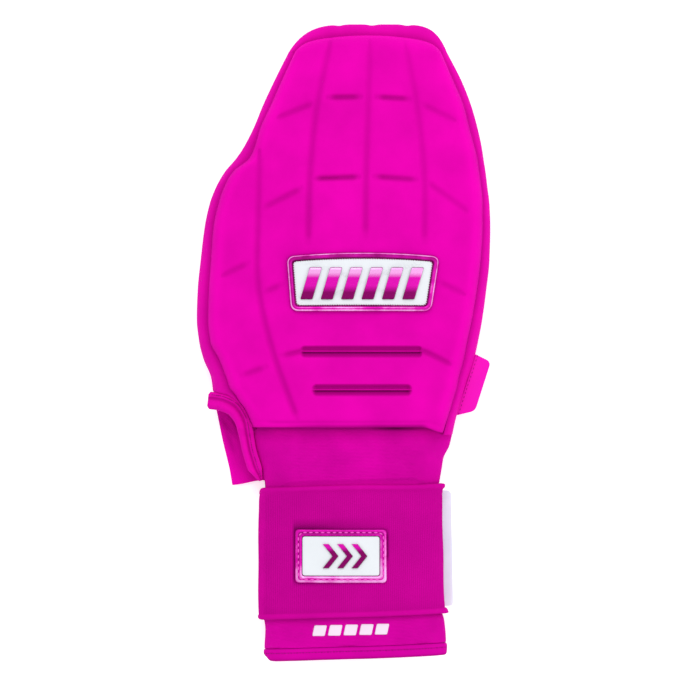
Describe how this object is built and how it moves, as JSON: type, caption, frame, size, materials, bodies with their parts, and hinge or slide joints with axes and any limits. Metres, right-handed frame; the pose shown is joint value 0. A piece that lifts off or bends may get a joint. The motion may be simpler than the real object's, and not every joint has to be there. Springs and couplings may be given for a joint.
{
  "type": "sliding mitt",
  "caption": "Padded sliding mitt for the right hand, with a moulded grooved back, a flat palm, a thumb-side opening, a stretch cuff and a wide elastic wrist strap.",
  "frame": {"origin": "the point under the middle of the palm, on the surface that the mitt lies on", "axes": "+Y along the fingers, +Z out of the back of the hand, -X toward the thumb side"},
  "size_m": [0.1537, 0.3319, 0.035],
  "materials": {
    "pad_fabric": "matte moulded stretch fabric over foam",
    "rim_fabric": "matte stretch fabric",
    "palm_fabric": "matte grained fabric",
    "cuff_knit": "fine matte knit",
    "strap_elastic": "ribbed matte elastic",
    "hook_tape": "matte hook tape",
    "label_film": "satin film",
    "pink_chrome": "bright metallised film",
    "white_film": "satin film"
  },
  "bodies": {
    "root": {"back_pad": "pad_fabric", "rim_band": "rim_fabric", "palm_panel": "palm_fabric", "thumb_binding": "rim_fabric", "wrist_cuff": "cuff_knit", "cuff_hem": "cuff_knit", "wrist_strap": "strap_elastic", "closure_tab": "hook_tape", "side_label": "label_film", "badge_frame": "pink_chrome", "badge_panel": "white_film", "badge_bar_1": "pink_chrome", "badge_bar_2": "pink_chrome", "badge_bar_3": "pink_chrome", "badge_bar_4": "pink_chrome", "badge_bar_5": "pink_chrome", "badge_bar_6": "pink_chrome", "strap_patch_frame": "pink_chrome", "strap_patch_panel": "white_film", "strap_chevron_1": "pink_chrome", "strap_chevron_2": "pink_chrome", "strap_chevron_3": "pink_chrome"}
  },
  "joints": []
}
